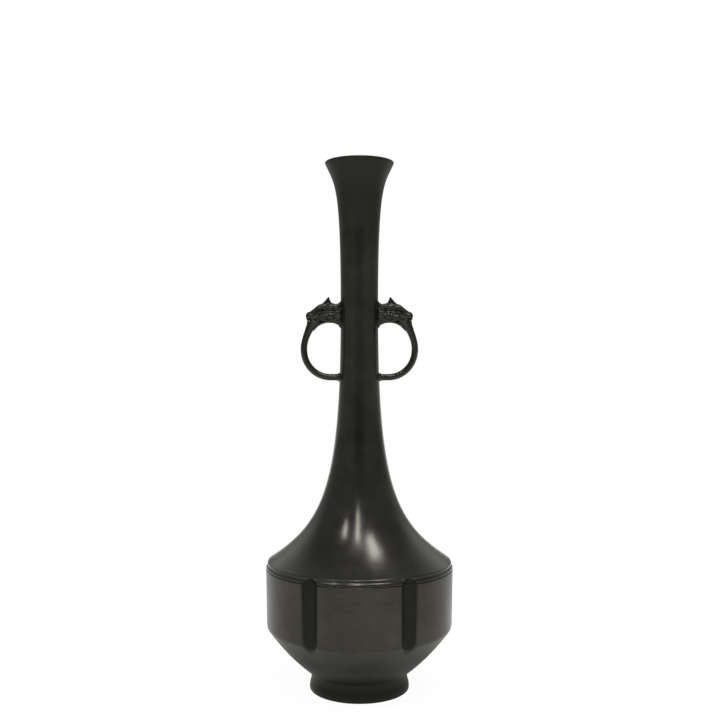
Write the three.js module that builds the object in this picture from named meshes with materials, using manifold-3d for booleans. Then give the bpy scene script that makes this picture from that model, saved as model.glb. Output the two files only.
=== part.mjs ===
// A cast bronze flower vase: a slender neck and a sloping shoulder over a low fluted drum,
// with a beast head biting a fixed ring on each side of the neck.
// Millimetres, +Z up, the origin on the vase's axis in the plane that it stands on.
import * as THREE from 'three';
import { mergeVertices } from 'three/addons/utils/BufferGeometryUtils.js';
import Module from 'manifold-3d';

const wasm = await Module();
wasm.setup();

// Overall and neck sizes
const HEIGHT = 280;
const MOUTH_RADIUS = 18.4;
const LIP_ANGLE = 67;
const LIP_PULL = 13.1;
const LIP_WALL = 2;
const LIP_CHAMFER = 0.5;
const THROAT_RADIUS = 10;
const THROAT_HEIGHT = 200.2;
const FLARE_PULL = 70;
const NECK_PULL = 97.6;
const NECK_WALL = 3;

// Shoulder and drum sizes
const SHOULDER_RADIUS = 49.6;
const SHOULDER_ANGLE = 34;
const SHOULDER_PULL = 35.2;
const BAND_HEIGHT = 2.4;
const BAND_ROUNDING = 0.9;
const SEAM_HEIGHT = 64.6;
const DRUM_HEIGHT = 30.6;
const DRUM_TAPER = 0.5;
const DRUM_WALL = 4.6;
const BOWL_WALL = 3.2;
const BOWL_BULGE = 1.6;
const SPIGOT_LENGTH = 4.5;
const SPIGOT_WALL = 3;

// Flutes
const FLUTE_COUNT = 6;
const FLUTE_WIDTH = 9.4;
const FLUTE_DEPTH = 2.9;
const FLUTE_OVERRUN = 14;
const FLUTE_END_DROP = 1;

// Foot and the plate that closes it
const FOOT_HEIGHT = 9.7;
const FOOT_RADIUS = 26.4;
const FOOT_WAIST = 25.5;
const FOOT_CHAMFER = 0.5;
const FOOT_WALL = 4.2;
const LEDGE_WIDTH = 3.5;
const FLOOR_THICKNESS = 3.6;
const PLATE_THICKNESS = 2.5;
const PLATE_RECESS = 5.2;

// Beast heads and their rings
const HEAD_HEIGHT = 199.5;
const HEAD_LENGTH = 18.4;
const HEAD_WIDTH = 9.2;
const HEAD_DEPTH = 10.2;
const CORE_SHARE = 0.62;
const CREST_RISE = 8.5;
const CREST_LEAN = 14;
const HEAD_TENON_RADIUS = 2.5;
const RING_REACH = 29.65;
const RING_MID_HEIGHT = 180;
const RING_FOOT_HEIGHT = 165.3;
const RING_FOOT_TURN = 15.5;
const RING_THICKNESS = 3;
const RING_WIDTH = 4.6;
const RING_TENON_RADIUS = 1.2;

// Fits and fineness
const FIT_GAP = 0.3;
const TURN_STEPS = 48;
const CURVE_STEPS = 13;
const BOWL_STEPS = 8;
const FLUTE_STEPS = 28;
const DOME_STEPS = 5;
const SPHERE_STEPS = 14;
const RING_STEPS = 22;
const RING_SIDES = 10;
const CIRCLE_PULL = 0.5523;

// Sizes that follow from the ones above
const seamTop = SEAM_HEIGHT + FIT_GAP;
const bandTop = seamTop + BAND_HEIGHT;
const drumInside = SHOULDER_RADIUS - DRUM_WALL;
const spigotRadius = drumInside - FIT_GAP;
const drumBottom = SEAM_HEIGHT - DRUM_HEIGHT;
const drumFootRadius = SHOULDER_RADIUS - DRUM_TAPER;
const footInside = FOOT_RADIUS - FOOT_CHAMFER - FOOT_WALL;
const ledgeHeight = PLATE_RECESS + PLATE_THICKNESS + FIT_GAP;
const floorTop = ledgeHeight + FLOOR_THICKNESS;
const fluteRadius = (FLUTE_WIDTH ** 2 / 4 + FLUTE_DEPTH ** 2) / (2 * FLUTE_DEPTH);
const fluteCentre = SHOULDER_RADIUS - FLUTE_DEPTH + fluteRadius;

// A closed mesh as a solid that can be joined and cut
function solid(geometry) {
  geometry.deleteAttribute('normal');
  geometry.deleteAttribute('uv');
  const merged = mergeVertices(geometry, 1e-4);
  const corners = merged.index.array;
  const kept = [];
  for (let i = 0; i < corners.length; i += 3) {
    const [a, b, c] = corners.slice(i, i + 3);
    if (a !== b && b !== c && c !== a) kept.push(a, b, c);
  }
  const vertProperties = merged.attributes.position.array;
  return new wasm.Manifold(new wasm.Mesh({ numProp: 3, vertProperties, triVerts: new Uint32Array(kept) }));
}

// A solid back as a mesh with its own finish
function named(name, body, finish) {
  const mesh = body.getMesh();
  const geometry = new THREE.BufferGeometry();
  geometry.setAttribute('position', new THREE.BufferAttribute(mesh.vertProperties, mesh.numProp));
  geometry.setIndex(new THREE.BufferAttribute(mesh.triVerts, 1));
  geometry.computeVertexNormals();
  const node = new THREE.Mesh(geometry, new THREE.MeshStandardMaterial(finish));
  node.name = name;
  return node;
}

// A closed profile of [radius, height] points, listed anticlockwise, turned round the axis
function turned(profile) {
  const points = profile.map(([r, z]) => new THREE.Vector2(r, z));
  points.push(points[0].clone());
  return solid(new THREE.LatheGeometry(points, TURN_STEPS).rotateX(Math.PI / 2));
}

// A rod along X from one end to the other, at a height above the base
function rod(radius, fromX, toX, height) {
  const bar = new THREE.CylinderGeometry(radius, radius, Math.abs(toX - fromX), SPHERE_STEPS);
  return solid(bar.rotateZ(Math.PI / 2).translate((fromX + toX) / 2, 0, height));
}

// A curve's points pushed sideways, to the left of its direction, by a wall that may vary
function offset(points, wall) {
  return points.map(([r, z], i) => {
    const before = points[Math.max(i - 1, 0)];
    const after = points[Math.min(i + 1, points.length - 1)];
    const along = new THREE.Vector2(after[0] - before[0], after[1] - before[1]).normalize();
    const depth = wall(i / (points.length - 1));
    return [r - along.y * depth, z + along.x * depth];
  });
}

// The height of a curve, given as points, where it passes a radius
function heightAt(points, radius) {
  const i = points.findIndex(([r], k) => k > 0 && (r - radius) * (points[k - 1][0] - radius) <= 0);
  const [r0, z0] = points[i - 1];
  const [r1, z1] = points[i];
  return z0 + (z1 - z0) * (radius - r0) / (r1 - r0);
}

// The points of a cubic curve in the profile, by its two ends and two handles
function curvePoints(corners, steps) {
  const curve = new THREE.CubicBezierCurve(...corners.map(([r, z]) => new THREE.Vector2(r, z)));
  return curve.getPoints(steps).map(({ x, y }) => [x, y]);
}

// The outside of the neck, from the shoulder's edge up to the throat, and from there to the mouth
const shoulderTilt = THREE.MathUtils.degToRad(SHOULDER_ANGLE);
const shoulderPull = [SHOULDER_PULL * Math.cos(shoulderTilt), SHOULDER_PULL * Math.sin(shoulderTilt)];
const lipTilt = THREE.MathUtils.degToRad(LIP_ANGLE);
const shoulderCurve = curvePoints([
  [SHOULDER_RADIUS, bandTop],
  [SHOULDER_RADIUS - shoulderPull[0], bandTop + shoulderPull[1]],
  [THROAT_RADIUS, THROAT_HEIGHT - NECK_PULL],
  [THROAT_RADIUS, THROAT_HEIGHT],
], CURVE_STEPS);
const lipHeight = HEIGHT - LIP_CHAMFER;
const flareCurve = curvePoints([
  [THROAT_RADIUS, THROAT_HEIGHT],
  [THROAT_RADIUS, THROAT_HEIGHT + FLARE_PULL],
  [MOUTH_RADIUS - LIP_PULL * Math.cos(lipTilt), lipHeight - LIP_PULL * Math.sin(lipTilt)],
  [MOUTH_RADIUS, lipHeight],
], CURVE_STEPS);

// Neck and shoulder, cast in one, with a spigot that registers inside the drum
function neckCasting() {
  const shoulderInside = offset(shoulderCurve, () => NECK_WALL);
  const flareInside = offset(flareCurve, (t) => NECK_WALL + (LIP_WALL - NECK_WALL) * t);
  const spigotInside = spigotRadius - SPIGOT_WALL;
  const spigotBottom = SEAM_HEIGHT - SPIGOT_LENGTH;
  const rimInside = flareInside[CURVE_STEPS][0];
  return turned([
    [SHOULDER_RADIUS, seamTop],
    [SHOULDER_RADIUS, bandTop - BAND_ROUNDING],
    [SHOULDER_RADIUS - BAND_ROUNDING, heightAt(shoulderCurve, SHOULDER_RADIUS - BAND_ROUNDING)],
    ...shoulderCurve.slice(1),
    ...flareCurve.slice(1),
    [MOUTH_RADIUS - LIP_CHAMFER, HEIGHT],
    [rimInside + LIP_CHAMFER, HEIGHT],
    [rimInside, lipHeight],
    ...flareInside.slice(1, -1).reverse(),
    ...shoulderInside.filter(([r]) => r < spigotInside).reverse(),
    [spigotInside, heightAt(shoulderInside, spigotInside)],
    [spigotInside, spigotBottom],
    [spigotRadius, spigotBottom],
    [spigotRadius, seamTop],
  ]);
}

// Fluted drum, bowl and foot ring, cast in one and open below
function bodyCasting() {
  const middle = [
    (drumFootRadius + FOOT_RADIUS) / 2 + BOWL_BULGE,
    (drumBottom + FOOT_HEIGHT) / 2 - BOWL_BULGE,
  ];
  const bowlCorners = [[FOOT_RADIUS, FOOT_HEIGHT], middle, middle, [drumFootRadius, drumBottom]];
  const bowl = curvePoints(bowlCorners, BOWL_STEPS);
  const bowlInside = offset(bowl, () => BOWL_WALL).filter(([r, z]) => z > floorTop && r < drumInside);
  return turned([
    [footInside, 0],
    [FOOT_RADIUS - FOOT_CHAMFER, 0],
    [FOOT_RADIUS, FOOT_CHAMFER * 2],
    [FOOT_WAIST, ledgeHeight - FOOT_CHAMFER * 2],
    ...bowl,
    [SHOULDER_RADIUS, SEAM_HEIGHT - FOOT_CHAMFER],
    [SHOULDER_RADIUS - FOOT_CHAMFER, SEAM_HEIGHT],
    [drumInside, SEAM_HEIGHT],
    ...bowlInside.reverse(),
    [footInside - LEDGE_WIDTH, floorTop],
    [footInside - LEDGE_WIDTH, ledgeHeight],
    [footInside, ledgeHeight],
  ]);
}

// Flutes, evenly spaced round the drum, with round ends at the shoulder, that run out on the bowl
function flutes() {
  const low = drumBottom - FLUTE_OVERRUN;
  const high = SEAM_HEIGHT - FLUTE_END_DROP;
  const side = [new THREE.Vector2(0, low), new THREE.Vector2(fluteRadius, low)];
  for (let i = 0; i <= DOME_STEPS; i += 1) {
    const rise = Math.PI / 2 * i / DOME_STEPS;
    side.push(new THREE.Vector2(fluteRadius * Math.cos(rise), high + fluteRadius * Math.sin(rise)));
  }
  const cutters = [];
  for (let i = 0; i < FLUTE_COUNT; i += 1) {
    const bar = new THREE.LatheGeometry(side, FLUTE_STEPS).rotateX(Math.PI / 2);
    cutters.push(solid(bar.translate(fluteCentre, 0, 0).rotateZ(2 * Math.PI * i / FLUTE_COUNT)));
  }
  return cutters.reduce((all, cutter) => all.add(cutter));
}

// Disc let up into the foot ring against its ledge
function basePlate() {
  const radius = footInside - FIT_GAP;
  const disc = new THREE.CylinderGeometry(radius, radius, PLATE_THICKNESS, TURN_STEPS);
  return solid(disc.rotateX(Math.PI / 2).translate(0, 0, PLATE_RECESS + PLATE_THICKNESS / 2));
}

// A point of the head in side view, by shares of the head's length and depth
function headPoint(along, up) {
  return new THREE.Vector2(-THROAT_RADIUS - along * HEAD_LENGTH, HEAD_HEIGHT + up * HEAD_DEPTH);
}

// An ellipsoid of the head, placed and sized by shares of its length, width and depth
function lump(along, up, length, width, depth) {
  const ball = new THREE.SphereGeometry(0.5, SPHERE_STEPS, SPHERE_STEPS / 2 + 2);
  ball.scale(length * HEAD_LENGTH, width * HEAD_WIDTH, depth * HEAD_DEPTH);
  const { x, y } = headPoint(along, up);
  return solid(ball.translate(x, 0, y));
}

// The head's core in side view: the nape, the brow, the nose, the jaw and the hollow under it
function headCore() {
  const outline = new THREE.Shape([
    headPoint(-0.3, 0.5),
    headPoint(-0.3, -0.6),
    headPoint(0.05, -0.6),
    headPoint(0.18, -0.5),
    headPoint(0.46, -0.52),
    headPoint(0.64, -0.68),
    headPoint(0.8, -0.93),
    headPoint(1.02, -0.93),
    headPoint(0.96, -0.5),
    headPoint(1, -0.17),
    headPoint(0.95, 0.02),
    headPoint(0.78, 0.22),
    headPoint(0.62, 0.43),
    headPoint(0.36, 0.52),
    headPoint(0.11, 0.44),
  ]);
  const depth = CORE_SHARE * HEAD_WIDTH;
  const slab = new THREE.ExtrudeGeometry(outline, { depth, bevelEnabled: false });
  return solid(slab.rotateX(Math.PI / 2).translate(0, depth / 2, 0));
}

// Pointed ear of the beast, leaning out from the top of the skull on one side of its middle
function crestPoint(side) {
  const radius = HEAD_LENGTH / 6;
  const lean = THREE.MathUtils.degToRad(side * CREST_LEAN);
  const { x, y } = headPoint(0.36, 0);
  const cone = new THREE.ConeGeometry(radius, CREST_RISE, RING_SIDES / 2);
  cone.rotateX(Math.PI / 2).rotateX(-lean);
  return solid(cone.translate(x, side * HEAD_WIDTH / 4.5, y + CREST_RISE / 2));
}

// The ring's centre line, out of the jaw, down and round, and back to the neck
function ringPath() {
  const at = (x, z) => new THREE.Vector3(-x, 0, z);
  const fall = RING_MID_HEIGHT - RING_FOOT_HEIGHT;
  const reach = RING_REACH - RING_FOOT_TURN;
  const jaw = headPoint(0.7, -0.25);
  const chin = headPoint(0.91, -0.88);
  const path = new THREE.CurvePath();
  path.add(new THREE.CubicBezierCurve3(
    at(-jaw.x, jaw.y),
    at(-chin.x, chin.y),
    at(RING_REACH, RING_MID_HEIGHT + CIRCLE_PULL * HEAD_DEPTH),
    at(RING_REACH, RING_MID_HEIGHT),
  ));
  path.add(new THREE.CubicBezierCurve3(
    at(RING_REACH, RING_MID_HEIGHT),
    at(RING_REACH, RING_MID_HEIGHT - CIRCLE_PULL * fall),
    at(RING_FOOT_TURN + (1 - CIRCLE_PULL) * reach, RING_FOOT_HEIGHT),
    at(RING_FOOT_TURN, RING_FOOT_HEIGHT),
  ));
  const end = at(THROAT_RADIUS / 2, RING_FOOT_HEIGHT);
  path.add(new THREE.LineCurve3(at(RING_FOOT_TURN, RING_FOOT_HEIGHT), end));
  return path;
}

// The neck's outside grown by the fit gap, which the ear is cut to sit against
function neckSeat() {
  const side = offset([...shoulderCurve, ...flareCurve.slice(1)], () => -FIT_GAP);
  return turned([[0, side[0][1]], ...side, [0, side[side.length - 1][1]]]);
}

// Beast head and ring, cast in one, with a tenon behind each that passes into the neck
function ear() {
  const section = new THREE.Shape().absellipse(0, 0, RING_WIDTH / 2, RING_THICKNESS / 2, 0, 2 * Math.PI);
  const route = { curveSegments: RING_SIDES, steps: RING_STEPS, extrudePath: ringPath() };
  const ring = solid(new THREE.ExtrudeGeometry(section, route));
  const head = [
    headCore(),
    lump(0.08, -0.02, 0.5, 0.9, 0.96),
    lump(0.36, 0, 0.76, 1, 0.96),
    lump(0.7, -0.1, 0.52, 0.86, 0.72),
    crestPoint(1),
    crestPoint(-1),
  ].reduce((all, piece) => all.add(piece));
  const bore = THROAT_RADIUS - NECK_WALL;
  const headTenon = rod(HEAD_TENON_RADIUS, -bore - FIT_GAP, -THROAT_RADIUS - HEAD_LENGTH / 3, HEAD_HEIGHT);
  const ringTenon = rod(RING_TENON_RADIUS, -bore - FIT_GAP * 2, -RING_FOOT_TURN, RING_FOOT_HEIGHT);
  return head.add(ring).subtract(neckSeat()).add(headTenon).add(ringTenon);
}

// Holes through both sides of the neck for the tenons
function tenonHoles() {
  const reach = THROAT_RADIUS + NECK_WALL;
  return rod(HEAD_TENON_RADIUS + FIT_GAP, -reach, reach, HEAD_HEIGHT)
    .add(rod(RING_TENON_RADIUS + FIT_GAP, -reach, reach, RING_FOOT_HEIGHT));
}

const patina = { color: 0x4a4942, roughness: 0.38, metalness: 0.85 };
const castPatina = { color: 0x45443d, roughness: 0.5, metalness: 0.85 };
const bareUnderside = { color: 0x3a3833, roughness: 0.65, metalness: 0.7 };

const vase = new THREE.Group();
vase.add(named('neck_casting', neckCasting().subtract(flutes()).subtract(tenonHoles()), patina));
vase.add(named('body_casting', bodyCasting().subtract(flutes()), patina));
vase.add(named('base_plate', basePlate(), bareUnderside));
vase.add(named('ear_left', ear(), castPatina));
const earRight = named('ear_right', ear(), castPatina);
earRight.rotation.z = Math.PI;
vase.add(earRight);

export default vase;
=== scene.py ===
# A cast bronze flower vase with a fluted drum and a beast-head ring on each side of its neck.
import math

import bpy
import bmesh
from mathutils import Matrix, Vector


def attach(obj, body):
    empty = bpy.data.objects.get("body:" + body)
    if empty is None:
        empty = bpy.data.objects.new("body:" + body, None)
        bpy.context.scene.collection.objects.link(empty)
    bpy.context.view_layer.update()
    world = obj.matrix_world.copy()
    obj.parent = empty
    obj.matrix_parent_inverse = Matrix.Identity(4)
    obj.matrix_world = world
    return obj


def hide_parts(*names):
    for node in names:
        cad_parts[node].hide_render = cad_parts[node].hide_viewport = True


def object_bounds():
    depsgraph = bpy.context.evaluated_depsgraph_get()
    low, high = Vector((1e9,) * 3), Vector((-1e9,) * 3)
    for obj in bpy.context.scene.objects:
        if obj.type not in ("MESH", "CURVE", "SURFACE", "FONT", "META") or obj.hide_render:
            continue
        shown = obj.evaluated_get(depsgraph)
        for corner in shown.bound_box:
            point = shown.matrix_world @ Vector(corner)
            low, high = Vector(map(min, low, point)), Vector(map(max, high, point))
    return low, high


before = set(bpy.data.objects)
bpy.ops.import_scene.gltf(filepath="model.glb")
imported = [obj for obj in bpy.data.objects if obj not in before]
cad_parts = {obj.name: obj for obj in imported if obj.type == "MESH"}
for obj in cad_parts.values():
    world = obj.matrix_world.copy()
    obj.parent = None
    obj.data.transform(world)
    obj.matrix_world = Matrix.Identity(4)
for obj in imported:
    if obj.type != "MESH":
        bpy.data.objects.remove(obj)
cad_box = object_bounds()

# The view: the camera stands half a metre from the vase, a little above its middle, and looks
# level. Its lens and height make the vase fill the picture as it does in the photograph.
MM = 0.001
picture_width = 720
camera_distance = 498.6 * MM
camera_height = 173.4 * MM
camera_data = bpy.data.cameras.new("camera")
camera_data.sensor_width = 36
camera_data.lens = 46.65
camera_data.shift_x = 0.6 / picture_width
camera_data.shift_y = 2 / picture_width
camera_data.clip_start = 10 * MM
camera = bpy.data.objects.new("camera", camera_data)
camera.location = (0, -camera_distance, camera_height)
camera.rotation_euler = (math.radians(90), 0, 0)
bpy.context.collection.objects.link(camera)
bpy.context.scene.camera = camera

# The light: a pale room that shows white to the camera. In the metal it is dimmer above the
# height of a table and behind the camera, and lighter again high up behind the vase.
bpy.context.scene.view_settings.view_transform = "Standard"
room_light = 0.55
room_below = 0.95
room_above = 0.3
room_behind_camera = 0.2
room_high_behind_vase = 0.62


def shader(tree, kind, **settings):
    """A shader node of one kind, with its own settings such as an operation."""
    made = tree.nodes.new("ShaderNode" + kind)
    for setting, value in settings.items():
        setattr(made, setting, value)
    return made


def worked_out(tree, operation, *terms):
    """The outcome of a small sum, whose terms are numbers or other nodes' outputs."""
    step = shader(tree, "Math", operation=operation)
    for socket, term in zip(step.inputs, terms):
        if isinstance(term, bpy.types.NodeSocket):
            tree.links.new(term, socket)
        else:
            socket.default_value = term
    return step.outputs[0]


def ranged(tree, source, start, end, low, high, way="SMOOTHSTEP"):
    """A value that goes from low to high while its source goes from start to end."""
    ramp = shader(tree, "MapRange", interpolation_type=way)
    ramp.inputs["From Min"].default_value = start
    ramp.inputs["From Max"].default_value = end
    ramp.inputs["To Min"].default_value = low
    ramp.inputs["To Max"].default_value = high
    tree.links.new(source, ramp.inputs["Value"])
    return ramp.outputs["Result"]


def mixed(tree, share, first, second):
    """One shader that turns into a second one as the share goes from 0 to 1."""
    mix = shader(tree, "MixShader")
    tree.links.new(share, mix.inputs["Fac"])
    tree.links.new(first, mix.inputs[1])
    tree.links.new(second, mix.inputs[2])
    return mix.outputs[0]


def white_light(tree):
    """White light that comes from all round the vase."""
    light = shader(tree, "Background")
    light.inputs["Color"].default_value = (1, 1, 1, 1)
    return light


world = bpy.data.worlds.new("room")
bpy.context.scene.world = world
world.use_nodes = True
room = world.node_tree
room.nodes.clear()

# Each direction runs from -1 to 1, from behind the camera to behind the vase and from down to up
direction = shader(room, "SeparateXYZ")
room.links.new(shader(room, "TexCoord").outputs["Generated"], direction.inputs[0])
backward = direction.outputs["Y"]
upward = direction.outputs["Z"]
level_light = ranged(room, upward, -0.14, 0.0, room_below, room_above)
camera_shade = ranged(room, backward, -1.0, -0.8, room_behind_camera, 1.0)
high_light = ranged(room, upward, 0.12, 0.45, 0.0, room_high_behind_vase)
vase_side = ranged(room, backward, 0.25, 0.8, 0.0, 1.0)
shaded = worked_out(room, "MULTIPLY", level_light, camera_shade)
brightness = worked_out(room, "MULTIPLY_ADD", high_light, vase_side, shaded)

seen = white_light(room)
seen.inputs["Strength"].default_value = 1
soft = white_light(room)
soft.inputs["Strength"].default_value = room_light
mirrored = white_light(room)
room.links.new(brightness, mirrored.inputs["Strength"])
ray = shader(room, "LightPath")
soft_or_mirrored = mixed(room, ray.outputs["Is Glossy Ray"], soft.outputs[0], mirrored.outputs[0])
whole_room = mixed(room, ray.outputs["Is Camera Ray"], soft_or_mirrored, seen.outputs[0])
room.links.new(whole_room, shader(room, "OutputWorld").inputs["Surface"])

# The tubes: three lamps overhead that shine in the shoulder as a short streak on the left, a
# narrow one in the middle and a broad one on the right. Places, sizes and heights are in metres.
tube_height = 1.25
tubes = {
    "left": {"place": (-0.6, -0.64), "size": (0.09, 0.42), "turn": -30, "power": 3.2},
    "middle": {"place": (-0.08, -0.93), "size": (0.04, 1.0), "turn": -4, "power": 7.0},
    "right": {"place": (0.33, -0.3), "size": (0.24, 0.5), "turn": 0, "power": 5.4},
}
for name, tube in tubes.items():
    light = bpy.data.lights.new("tube_" + name, "AREA")
    light.shape = "RECTANGLE"
    light.size, light.size_y = tube["size"]
    light.energy = tube["power"]
    lamp = bpy.data.objects.new("tube_" + name, light)
    lamp.location = (*tube["place"], tube_height)
    lamp.rotation_euler = (0, 0, math.radians(tube["turn"]))
    bpy.context.collection.objects.link(lamp)

# The floor: a plain white sheet that the vase stands on, clear from below. It shows white to
# the camera and pale in the metal, and takes the vase's own soft shadow.
floor_half_width = 40
floor_drop = 0.2 * MM
floor_glow = 1.03
glow_for_camera = 0.93
glow_in_metal = 0.7


def finished_mesh(bm, name):
    """The mesh that a bmesh was worked into."""
    mesh = bpy.data.meshes.new(name)
    bm.to_mesh(mesh)
    bm.free()
    return mesh


def shown(name, mesh):
    """A new object in the scene, with its place in its mesh."""
    piece = bpy.data.objects.new(name, mesh)
    bpy.context.collection.objects.link(piece)
    return piece


floor_bm = bmesh.new()
bmesh.ops.create_grid(floor_bm, x_segments=1, y_segments=1, size=floor_half_width)
bmesh.ops.translate(floor_bm, verts=floor_bm.verts, vec=(0, 0, -floor_drop))
floor = shown("floor", finished_mesh(floor_bm, "floor"))

white_sheet = bpy.data.materials.new("white_sheet")
white_sheet.use_nodes = True
sheet = white_sheet.node_tree
sheet.nodes.clear()
paper = shader(sheet, "BsdfDiffuse")
paper.inputs["Color"].default_value = (0.9, 0.9, 0.9, 1)
glow = shader(sheet, "Emission")
glow.inputs["Strength"].default_value = floor_glow
ray = shader(sheet, "LightPath")
in_metal = worked_out(sheet, "MULTIPLY", ray.outputs["Is Glossy Ray"], glow_in_metal)
glow_share = worked_out(sheet, "MULTIPLY_ADD", ray.outputs["Is Camera Ray"], glow_for_camera, in_metal)
top_side = mixed(sheet, glow_share, paper.outputs[0], glow.outputs[0])
clear = shader(sheet, "BsdfTransparent")
side = shader(sheet, "NewGeometry")
one_sided = mixed(sheet, side.outputs["Backfacing"], top_side, clear.outputs[0])
sheet.links.new(one_sided, shader(sheet, "OutputMaterial").inputs["Surface"])
floor.data.materials.append(white_sheet)

# The body: the drum, the bowl below it and the foot ring are one bronze casting, turned smooth
# outside and open below. Six flutes are cut up its side, run out on the bowl and end in the
# shoulder. Lengths in this and the later sections are in millimetres.
shoulder_radius = round(cad_box[1][1] / MM, 1)
seam_height = 64.6
drum_bottom = 36.0
drum_inside = shoulder_radius - 4.6
foot_radius = 26.4
foot_waist = 25.5
foot_inside = 21.7
ledge_inside = 18.2
ledge_height = 8.0
bowl_floor = 11.6
# Painted shade on the outside of the bowl, deepening downwards, with a fixed share on the crook and foot
# below
bowl_shade_top = 37.5
bowl_shade_fade = 15
crook_height = 10.5
foot_shade = 0.9
flute_count = 6
flute_width = 9.4
flute_depth = 2.9
flute_radius = (flute_width ** 2 / 4 + flute_depth ** 2) / (2 * flute_depth)
flute_centre = shoulder_radius - flute_depth + flute_radius
flute_top = seam_height - 1.0
flute_edge = 0.4
lowest_flute = 25.0
dark_flute_depth = 1.2
flute_half_angle = 7.5
steps_at_flute = 56
steps_between = 26


def arc(centre, radius, start, end, steps):
    """Points of an arc in the profile, from one angle to another, in degrees."""
    turns = [math.radians(start + (end - start) * i / steps) for i in range(steps + 1)]
    return [(centre[0] + radius * math.cos(a), centre[1] + radius * math.sin(a)) for a in turns]


def bezier(p0, p1, p2, p3, steps):
    """Points of a smooth curve through two ends, pulled by two handles."""
    points = []
    for i in range(steps + 1):
        t = i / steps
        weights = ((1 - t) ** 3, 3 * t * (1 - t) ** 2, 3 * t * t * (1 - t), t ** 3)
        points.append(tuple(sum(w * p[k] for w, p in zip(weights, (p0, p1, p2, p3))) for k in (0, 1)))
    return points


def straight(start, end, steps):
    """Points along a straight stretch, without its first."""
    return [tuple(a + (b - a) * i / steps for a, b in zip(start, end)) for i in range(1, steps + 1)]


def turned(bm, verts, degrees):
    """Vertices turned round the vase's axis."""
    swing = Matrix.Rotation(math.radians(degrees), 3, "Z")
    bmesh.ops.rotate(bm, verts=verts, cent=(0, 0, 0), matrix=swing)


def spun(profile, name):
    """A closed profile of (radius, height) spun round the axis, finer where the flutes are cut."""
    bm = bmesh.new()
    ring = [bm.verts.new((r * MM, 0, z * MM)) for r, z in profile]
    last = ring + [bm.edges.new((a, b)) for a, b in zip(ring, ring[1:] + ring[:1])]
    turned(bm, ring, -flute_half_angle)
    sector = 360 / flute_count
    at_flute = 2 * flute_half_angle
    for degrees, steps in ((at_flute, steps_at_flute), (sector - at_flute, steps_between)):
        swing = math.radians(degrees)
        done = bmesh.ops.spin(bm, geom=last, axis=(0, 0, 1), cent=(0, 0, 0), angle=swing, steps=steps)
        last = done["geom_last"]
    first_sector = bm.verts[:] + bm.edges[:] + bm.faces[:]
    for i in range(1, flute_count):
        copied = bmesh.ops.duplicate(bm, geom=first_sector)["geom"]
        turned(bm, [g for g in copied if isinstance(g, bmesh.types.BMVert)], sector * i)
    bmesh.ops.remove_doubles(bm, verts=bm.verts, dist=1e-6)
    bmesh.ops.recalc_face_normals(bm, faces=bm.faces)
    for face in bm.faces:
        face.smooth = True
    return finished_mesh(bm, name)


def cut_flutes(mesh):
    """Pushes the wall in to the flutes' round bottoms and notes how deep each point went."""
    patina_and_painted_shade = mesh.attributes.new("patina_and_painted_shade", "FLOAT", "POINT")
    spacing = 2 * math.pi / flute_count
    for vert in mesh.vertices:
        x, y, z = (c / MM for c in vert.co)
        if math.hypot(x, y) < shoulder_radius - flute_depth - 2 or z < lowest_flute:
            continue
        nearest = round(math.atan2(y, x) / spacing) * spacing
        cx, cy = flute_centre * math.cos(nearest), flute_centre * math.sin(nearest)
        dx, dy = x - cx, y - cy
        away = math.hypot(dx, dy)
        slice_radius = math.sqrt(max(flute_radius ** 2 - max(z - flute_top, 0) ** 2, 0))
        gap = away - slice_radius
        if gap > 4 * flute_edge or slice_radius == 0:
            continue
        soft_away = slice_radius + flute_edge * math.log1p(math.exp(gap / flute_edge))
        vert.co = ((cx + dx / away * soft_away) * MM, (cy + dy / away * soft_away) * MM, z * MM)
        patina_and_painted_shade.data[vert.index].value = min(max((soft_away - away) / dark_flute_depth, 0), 1)


def paint_bowl_and_foot_shade(mesh):
    """Paints shade ever darker down the bowl, in the crook below it and on the foot."""
    patina_and_painted_shade = mesh.attributes["patina_and_painted_shade"]
    for vert in mesh.vertices:
        z = vert.co.z / MM
        if z < drum_bottom and math.hypot(vert.co.x, vert.co.y) / MM > foot_inside + 0.3:
            shade = min((bowl_shade_top - z) / bowl_shade_fade, 1) if z > crook_height else foot_shade
            patina_and_painted_shade.data[vert.index].value = max(patina_and_painted_shade.data[vert.index].value, shade)


toe = foot_radius - foot_waist
foot_edge = [(foot_inside, 0.25), (foot_inside + 0.25, 0.0), (foot_waist, 0.0)]
foot_edge += arc((foot_waist, toe), toe, -90, 0, 6)[1:]
foot_side = bezier((foot_radius, 1.6), (foot_radius - 0.1, 4.0), (foot_waist, 4.6), (foot_waist, 7.0), 8)
crook = bezier((foot_waist, 8.0), (foot_waist, 9.2), (26.0, 9.6), (26.8, 10.1), 5)
bowl = bezier((27.6, 10.7), (34.2, 15.9), (41.4, 23.3), (48.15, 32.6), 44)
belly = [(48.75, 33.5), (49.0, 34.6), (49.12, drum_bottom - 0.1)]
drum = straight(belly[-1], (shoulder_radius, seam_height - 0.7), 20)
drum += [(shoulder_radius - 0.04, seam_height - 0.3), (shoulder_radius - 0.25, seam_height - 0.05)]
drum += [(shoulder_radius - 0.5, seam_height)]
inside = [(drum_inside, seam_height), (drum_inside, drum_bottom), (43.2, 32.0), (38.5, 26.2)]
inside += [(32.0, 19.2), (24.6, 12.4), (21.0, bowl_floor), (ledge_inside, bowl_floor)]
inside += [(ledge_inside, ledge_height), (foot_inside, ledge_height)]
body_mesh = spun(foot_edge + foot_side + crook + bowl + belly + drum + inside, "body_shell")
cut_flutes(body_mesh)
# Painted shade down the bowl and on the foot
paint_bowl_and_foot_shade(body_mesh)
body = shown("body_shell", body_mesh)


def noise(tree, place, scale, detail, roughness=0.5):
    """How high a cloudy pattern stands at a place."""
    pattern = shader(tree, "TexNoise")
    pattern.inputs["Scale"].default_value = scale
    pattern.inputs["Detail"].default_value = detail
    pattern.inputs["Roughness"].default_value = roughness
    tree.links.new(place, pattern.inputs["Vector"])
    return pattern.outputs["Fac"]


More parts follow.
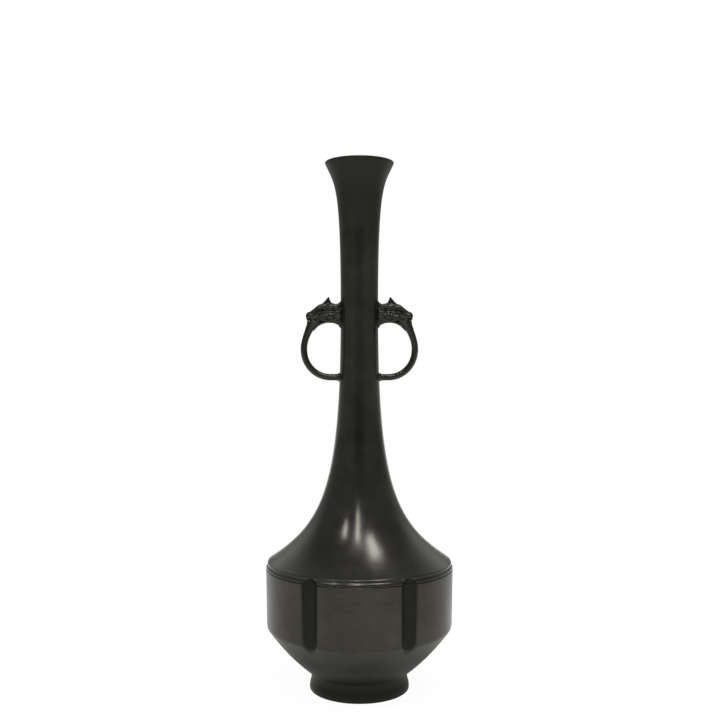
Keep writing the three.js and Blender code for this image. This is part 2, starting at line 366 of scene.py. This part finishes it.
def patina(name, dark, light, patina_and_shade_colour, rough, marks):
    """Dark bronze patina: cloudy brown and olive tones, level turning marks and a satin skin.

    One attribute lays an older, duller colour in flutes and chased lines, and painted shade on the bowl,
    crook, foot and mouth.
    """
    material = bpy.data.materials.new(name)
    material.use_nodes = True
    tree = material.node_tree
    skin = tree.nodes["Principled BSDF"]
    skin.inputs["Metallic"].default_value = 0.8
    skin.inputs["Specular IOR Level"].default_value = 0.5

    place = shader(tree, "TexCoord").outputs["Object"]
    stretch = shader(tree, "Mapping")
    stretch.inputs["Scale"].default_value = (9, 9, 1500)
    tree.links.new(place, stretch.inputs["Vector"])
    clouds = noise(tree, place, 55, 5, 0.62)
    turning = noise(tree, stretch.outputs["Vector"], 1, 3)
    specks = noise(tree, place, 1400, 2)
    patina_and_shade_share = shader(tree, "Attribute", attribute_name="patina_and_painted_shade").outputs["Fac"]

    tone = shader(tree, "ValToRGB")
    tone.color_ramp.elements[0].position = 0.3
    tone.color_ramp.elements[0].color = (*dark, 1)
    tone.color_ramp.elements[1].position = 0.72
    tone.color_ramp.elements[1].color = (*light, 1)
    streaked = worked_out(tree, "MULTIPLY_ADD", turning, marks, clouds)
    tree.links.new(worked_out(tree, "SUBTRACT", streaked, marks / 2), tone.inputs["Fac"])
    deep = shader(tree, "Mix", data_type="RGBA")
    deep.inputs["B"].default_value = (*patina_and_shade_colour, 1)
    tree.links.new(patina_and_shade_share, deep.inputs["Factor"])
    tree.links.new(tone.outputs["Color"], deep.inputs["A"])
    tree.links.new(deep.outputs["Result"], skin.inputs["Base Color"])

    sheen = ranged(tree, clouds, 0.3, 0.7, rough - 0.05, rough + 0.08, "LINEAR")
    tree.links.new(worked_out(tree, "MULTIPLY_ADD", patina_and_shade_share, 0.25, sheen), skin.inputs["Roughness"])

    bump = shader(tree, "Bump")
    bump.inputs["Strength"].default_value = 0.35
    bump.inputs["Distance"].default_value = 0.06 * MM
    tree.links.new(worked_out(tree, "MULTIPLY_ADD", specks, 0.35, turning), bump.inputs["Height"])
    tree.links.new(bump.outputs["Normal"], skin.inputs["Normal"])
    return material


body_mesh.materials.append(patina(
    "turned_patina", dark=(0.034, 0.032, 0.025), light=(0.056, 0.053, 0.042),
    patina_and_shade_colour=(0.019, 0.019, 0.014), rough=0.3, marks=0.22))
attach(body, "root")
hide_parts("body_casting")

# The base plate: a plain disc of dull cast bronze that closes the bottom. It is let up into the
# foot ring against a ledge.
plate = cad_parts["base_plate"]
plate.data.materials.clear()
plate.data.materials.append(patina(
    "underside_patina", dark=(0.03, 0.027, 0.022), light=(0.055, 0.05, 0.042),
    patina_and_shade_colour=(0.02, 0.02, 0.015), rough=0.55, marks=0.1))

# The neck: the mouth, neck and shoulder are one bronze casting, turned and polished. Its spigot
# sits inside the drum, and the joint shows as a fine dark line below the shoulder's edge.
height = round(cad_box[1][2] / MM, 1)
mouth_radius = 18.4
throat_radius = 10.0
throat_height = 200.2
neck_wall = 3.0
lip_wall = 2.0
lip_rounding = 0.5
lip_tilt = math.radians(67)
lip_pull = 13.1
flare_pull = 70
neck_pull = 97.6
shoulder_tilt = math.radians(34)
shoulder_pull = 35.2
shoulder_start = (shoulder_radius - 0.07, seam_height + 2.7)
seam_top = seam_height + 0.14
spigot_radius = drum_inside - 0.3
spigot_inside = spigot_radius - 3.0
spigot_bottom = seam_height - 4.5
fine_radius = 45
# Painted shade on the flaring mouth: from this height, deepening over this stretch to this share
mouth_shade_from = 232
mouth_shade_rise = 34
mouth_shade = 0.8


def inward(points, wall_start, wall_end):
    """A wall's inner line: the outer one pushed in by the wall."""
    pushed = []
    for i, (r, z) in enumerate(points):
        before = points[max(i - 1, 0)]
        after = points[min(i + 1, len(points) - 1)]
        along = Vector((after[0] - before[0], after[1] - before[1])).normalized()
        wall = wall_start + (wall_end - wall_start) * i / (len(points) - 1)
        pushed.append((r - along.y * wall, z + along.x * wall))
    return pushed


def paint_mouth_shade(mesh):
    """Paints shade on the flaring mouth, deepening towards the lip."""
    patina_and_painted_shade = mesh.attributes["patina_and_painted_shade"]
    for vert in mesh.vertices:
        rise = min(max((vert.co.z / MM - mouth_shade_from) / mouth_shade_rise, 0), 1)
        if rise:
            patina_and_painted_shade.data[vert.index].value = mouth_shade * rise * rise * (3 - 2 * rise)


shoulder_curve = bezier(
    shoulder_start,
    (
        shoulder_radius - shoulder_pull * math.cos(shoulder_tilt),
        shoulder_start[1] + shoulder_pull * math.sin(shoulder_tilt),
    ),
    (throat_radius, throat_height - neck_pull),
    (throat_radius, throat_height), 240)
lip_start = height - lip_rounding
flare_curve = bezier(
    (throat_radius, throat_height),
    (throat_radius, throat_height + flare_pull),
    (mouth_radius - lip_pull * math.cos(lip_tilt), lip_start - lip_pull * math.sin(lip_tilt)),
    (mouth_radius, lip_start), 34)

# From the joint up: a rounded bead, a low riser and the corner where the shoulder's slope starts
bead_and_riser = [
    (0.5, 0.0), (0.2, 0.05), (0.02, 0.2), (0.0, 0.5), (0.04, 0.8), (0.15, 1.1), (0.33, 1.38),
    (0.57, 1.64), (0.74, 1.8), (0.77, 1.92), (0.79, 2.9), (0.81, 3.0),
]
corner_radius = shoulder_radius - 0.86
edge = [(shoulder_radius - inset, seam_top + rise) for inset, rise in bead_and_riser]
slope = [p for p in shoulder_curve if fine_radius < p[0] < corner_radius]
slope += [p for p in shoulder_curve[::4] if p[0] <= fine_radius]

# The rim's top, from its outer edge to its inner one, as insets and drops
rim = [(0.04, 0.25), (0.22, 0.06), (0.5, 0.0), (1.3, 0.0), (1.6, 0.1), (1.8, 0.4)]
lip = [(mouth_radius - inset, height - drop) for inset, drop in rim]
bore = inward(flare_curve, neck_wall, lip_wall)[-2:0:-3]
cavity = [p for p in inward(shoulder_curve[::4], neck_wall, neck_wall) if p[0] < spigot_inside - 0.2][::-3]
spigot = [(spigot_inside, 68.2), (spigot_inside, spigot_bottom)]
spigot += [(spigot_radius, spigot_bottom), (spigot_radius, seam_top)]
neck_mesh = spun(edge + slope + flare_curve[1:] + lip + bore + cavity + spigot, "neck_shell")
cut_flutes(neck_mesh)
# Painted shade on the flaring mouth
paint_mouth_shade(neck_mesh)
neck = shown("neck_shell", neck_mesh)
neck_mesh.materials.append(patina(
    "neck_patina", dark=(0.032, 0.031, 0.026), light=(0.05, 0.048, 0.04),
    patina_and_shade_colour=(0.013, 0.013, 0.01), rough=0.2, marks=0.15))
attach(neck, "root")
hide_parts("neck_casting")

# The ears: each is a beast's head that bites a ring, cast in one in bronze and chased. A tenon
# behind the head and one at the ring's lower end pass into the neck. The right ear is the left
# one turned half round, and the values below are places and sizes on the left one.
ring_reach = -29.65
ring_middle_height = 180.0
ring_foot_height = 165.3
ring_foot_start = -15.5
ring_half_thickness = 1.78
ring_half_width = 2.4
ring_sides = 20
jaw_share = 0.3
jaw_growth = (0.9, 0.8)
tenon_share = 0.07
tenon_growth = (1.3, 0.9)
knit_size = 0.24
head_half_width = 2.3
crest_half_width = 0.75
crest_spread = 2.1

ring_route = bezier(
    (-23.4, 196.8), (-26.9, 191.0), (ring_reach, 185.6), (ring_reach, ring_middle_height), 24)
ring_route += bezier(
    (ring_reach, ring_middle_height), (ring_reach, 171.9), (-23.4, ring_foot_height),
    (ring_foot_start, ring_foot_height), 24)[1:]
ring_route += straight((ring_foot_start, ring_foot_height), (-9.9, ring_foot_height - 0.05), 8)

# The head in side view: nape, skull, forehead, nose, lip and chin, and back under the jaw
head_side = [
    (-9.0, 207.4), (-9.9, 206.2), (-10.6, 205.0), (-12.2, 204.3), (-15.0, 204.9), (-18.6, 205.0),
    (-22.0, 203.8), (-24.3, 201.8), (-26.0, 200.4), (-27.7, 199.8), (-28.6, 198.4), (-28.4, 196.6),
    (-27.8, 195.2), (-28.2, 192.9), (-29.2, 190.0), (-24.4, 190.0), (-22.0, 192.5), (-19.8, 193.7),
    (-17.3, 194.3), (-13.9, 194.2), (-11.4, 193.2), (-10.2, 191.4), (-9.0, 190.8),
]
crest_side = [
    (-14.6, 203.6), (-15.0, 205.2), (-15.9, 206.9), (-16.3, 208.3), (-17.6, 206.8), (-19.4, 204.8),
    (-19.0, 203.6),
]
middle_lumps = {
    "nape": {"place": (-11.6, 0, 199.3), "size": (4.2, 4.4, 5.2), "lean": 0},
    "skull": {"place": (-16.6, 0, 199.4), "size": (6.8, 4.4, 4.8), "lean": 0},
    "muzzle": {"place": (-21.8, 0, 198.6), "size": (5.4, 4.0, 4.0), "lean": 20},
    "nose": {"place": (-26.3, 0, 197.9), "size": (2.2, 3.5, 2.1), "lean": 0},
}
side_lumps = {
    "forehead": {"place": (-20.9, 1.4, 201.7), "size": (4.2, 3.3, 2.2), "lean": 26},
    "brow": {"place": (-14.6, 2.2, 202.8), "size": (5.0, 2.1, 1.5), "lean": -3},
    "eye": {"place": (-21.6, 3.3, 199.9), "size": (1.15, 0.8, 0.85), "lean": 0},
    "jaw": {"place": (-19.4, 3.7, 196.9), "size": (2.6, 1.2, 1.5), "lean": 14},
    "cheek": {"place": (-15.2, 4.0, 197.6), "size": (2.2, 0.9, 1.9), "lean": -10},
    "mane": {"place": (-12.0, 3.9, 199.2), "size": (2.0, 0.8, 1.8), "lean": 20},
}

# Lines that are chased into both sides of the head, then where the chasing lies and how dark it is
grooves = {
    "mouth": {
        "width": 0.42, "depth": 0.5,
        "line": [(-27.6, 195.9), (-24.6, 195.6), (-21.8, 196.0), (-19.9, 195.2)],
    },
    "under_brow": {
        "width": 0.5, "depth": 0.7,
        "line": [(-24.2, 199.4), (-21.8, 200.3), (-18.8, 200.7), (-15.0, 201.0), (-11.5, 200.9)],
    },
    "cheek_curl": {
        "width": 0.3, "depth": 0.35,
        "line": [(-18.6, 198.6), (-17.2, 199.2), (-16.2, 198.3), (-17.0, 197.2), (-18.0, 197.6)],
    },
    "jaw_curl": {
        "width": 0.3, "depth": 0.35,
        "line": [(-14.6, 199.4), (-13.2, 199.7), (-12.3, 198.6), (-13.2, 197.5), (-14.3, 198.0)],
    },
    "low_mane": {"width": 0.3, "depth": 0.3, "line": [(-15.2, 195.9), (-12.8, 196.3), (-10.8, 196.0)]},
}
head_bottom = 193.5
hair_bottom = 177.0
hair_centre = (-17.2, 178.5)
ring_groove_top = 186.0
dark_cut_depth = 0.6
darkest_cut = 0.85


def add_ring(bm):
    """The ring's bar, swept along its route, thick at the jaw and widening into the neck."""
    last = None
    count = len(ring_route)
    for i, (x, z) in enumerate(ring_route):
        before = ring_route[max(i - 1, 0)]
        after = ring_route[min(i + 1, count - 1)]
        along = Vector((after[0] - before[0], 0, after[1] - before[1])).normalized()
        out = Vector((-along.z, 0, along.x))
        t = i / (count - 1)
        jaw = max(0.0, 1 - t / jaw_share)
        tenon = max(0.0, 1 - (1 - t) / tenon_share) ** 2
        thick = ring_half_thickness + jaw_growth[0] * jaw ** 1.5 + tenon_growth[0] * tenon
        wide = ring_half_width + jaw_growth[1] * jaw + tenon_growth[1] * tenon
        loop = []
        for k in range(ring_sides):
            a = 2 * math.pi * k / ring_sides
            offset = out * (thick * math.cos(a)) + Vector((0, wide * math.sin(a), 0))
            loop.append(bm.verts.new((Vector((x, 0, z)) + offset) * MM))
        edges = [bm.edges.new((a, b)) for a, b in zip(loop, loop[1:] + loop[:1])]
        if last:
            bmesh.ops.bridge_loops(bm, edges=last + edges)
        else:
            bm.faces.new(loop)
        last = edges
    bm.faces.new(loop)


def add_slab(bm, outline, half_width, middle=0.0):
    """A plate of metal cut to a side outline, on the middle plane or a little beside it."""
    near = (middle + half_width) * MM
    face = bm.faces.new([bm.verts.new((x * MM, near, z * MM)) for x, z in outline])
    grown = bmesh.ops.extrude_face_region(bm, geom=[face], use_keep_orig=True)
    moved = [g for g in grown["geom"] if isinstance(g, bmesh.types.BMVert)]
    bmesh.ops.translate(bm, verts=moved, vec=(0, -2 * half_width * MM, 0))


def add_lump(bm, lump, side):
    """A rounded lump of metal on one side of the head, or on its middle plane."""
    x, y, z = lump["place"]
    place = Matrix.Translation((x * MM, side * y * MM, z * MM))
    lean = Matrix.Rotation(math.radians(-lump["lean"]), 4, "Y")
    shape = Matrix.Diagonal((*(half * MM for half in lump["size"]), 1))
    bmesh.ops.create_icosphere(bm, subdivisions=4, radius=1, matrix=place @ lean @ shape)


def knitted(rough_mesh):
    """The lumps, plates and bar run together into one skin, as in a casting."""
    clay = shown("ear_clay", rough_mesh)
    knit = clay.modifiers.new("knit", "REMESH")
    knit.mode = "VOXEL"
    knit.voxel_size = knit_size * MM
    ease = clay.modifiers.new("ease", "SMOOTH")
    ease.factor = 0.5
    ease.iterations = 4
    evaluated = clay.evaluated_get(bpy.context.evaluated_depsgraph_get())
    mesh = bpy.data.meshes.new_from_object(evaluated)
    bpy.data.objects.remove(clay)
    return mesh


def near_line(x, z, points):
    """The distance from a point of the side view to a line of points."""
    best = 1e9
    for (ax, az), (bx, bz) in zip(points, points[1:]):
        dx, dz = bx - ax, bz - az
        t = min(max(((x - ax) * dx + (z - az) * dz) / (dx * dx + dz * dz), 0), 1)
        best = min(best, math.hypot(x - ax - t * dx, z - az - t * dz))
    return best


def hammering(x, z):
    """How deep the head's faint hammer marks go at a point of its side."""
    return 0.03 * math.sin(x * 5.2 + z * 3.1) * math.sin(x * 2.9 - z * 5.3)


def head_lines(x, z):
    """How deep the lines chased into the head go."""
    depth = 0.0
    for groove in grooves.values():
        depth += groove["depth"] * math.exp(-(near_line(x, z, groove["line"]) / groove["width"]) ** 2)
    return depth


def hair_lines(x, z):
    """How deep the fine strokes across the upper ring go, fading out down the ring."""
    across, up = x - hair_centre[0], z - hair_centre[1]
    waves = math.sin(46 * math.atan2(up, across) + 3.2 * math.hypot(across, up))
    return 0.12 * min((z - hair_bottom) / 5, 1) * (0.5 + 0.5 * waves)


def ring_groove(x, z):
    """How deep the line along the middle of the lower ring goes."""
    out = near_line(x, z, ring_route[20::2])
    return 0.28 * math.exp(-(out / 0.5) ** 2) * min((ring_groove_top - z) / 8, 1)


def chase(mesh):
    """Sinks the chased lines into the sides of the ear and notes how deep each point went."""
    patina_and_painted_shade = mesh.attributes.new("patina_and_painted_shade", "FLOAT", "POINT")
    normals = [vert.normal.copy() for vert in mesh.vertices]
    for vert, normal in zip(mesh.vertices, normals):
        x, z = vert.co.x / MM, vert.co.z / MM
        facing = abs(normal.y)
        cut = 0.0
        if z > head_bottom:
            cut = hammering(x, z) * facing
            if facing > 0.2:
                cut += head_lines(x, z) * facing
        elif z > hair_bottom:
            cut = hair_lines(x, z) * facing
        if z < ring_groove_top and facing > 0.5:
            cut += ring_groove(x, z) * (facing - 0.5)
        vert.co -= normal * cut * MM
        patina_and_painted_shade.data[vert.index].value = min(cut / dark_cut_depth, darkest_cut)


ear_bm = bmesh.new()
add_ring(ear_bm)
add_slab(ear_bm, head_side, head_half_width)
for lump in middle_lumps.values():
    add_lump(ear_bm, lump, 0)
for lump in side_lumps.values():
    for side in (1, -1):
        add_lump(ear_bm, lump, side)
for side in (1, -1):
    add_slab(ear_bm, crest_side, crest_half_width, side * crest_spread)
bmesh.ops.recalc_face_normals(ear_bm, faces=ear_bm.faces)
ear_mesh = knitted(finished_mesh(ear_bm, "ear_rough"))
chase(ear_mesh)
for face in ear_mesh.polygons:
    face.use_smooth = True
ear_mesh.materials.append(patina(
    "ear_patina", dark=(0.026, 0.025, 0.021), light=(0.05, 0.048, 0.04),
    patina_and_shade_colour=(0.012, 0.012, 0.009), rough=0.2, marks=0.0))


def ear_copy(name, node, degrees):
    """One ear in its own place, riding on the vase."""
    mesh = ear_mesh.copy()
    mesh.name = name
    mesh.transform(Matrix.Rotation(math.radians(degrees), 4, "Z"))
    ear = shown(name, mesh)
    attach(ear, "root")
    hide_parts(node)


ear_copy("beast_ring_left", "ear_left", 0)
ear_copy("beast_ring_right", "ear_right", 180)
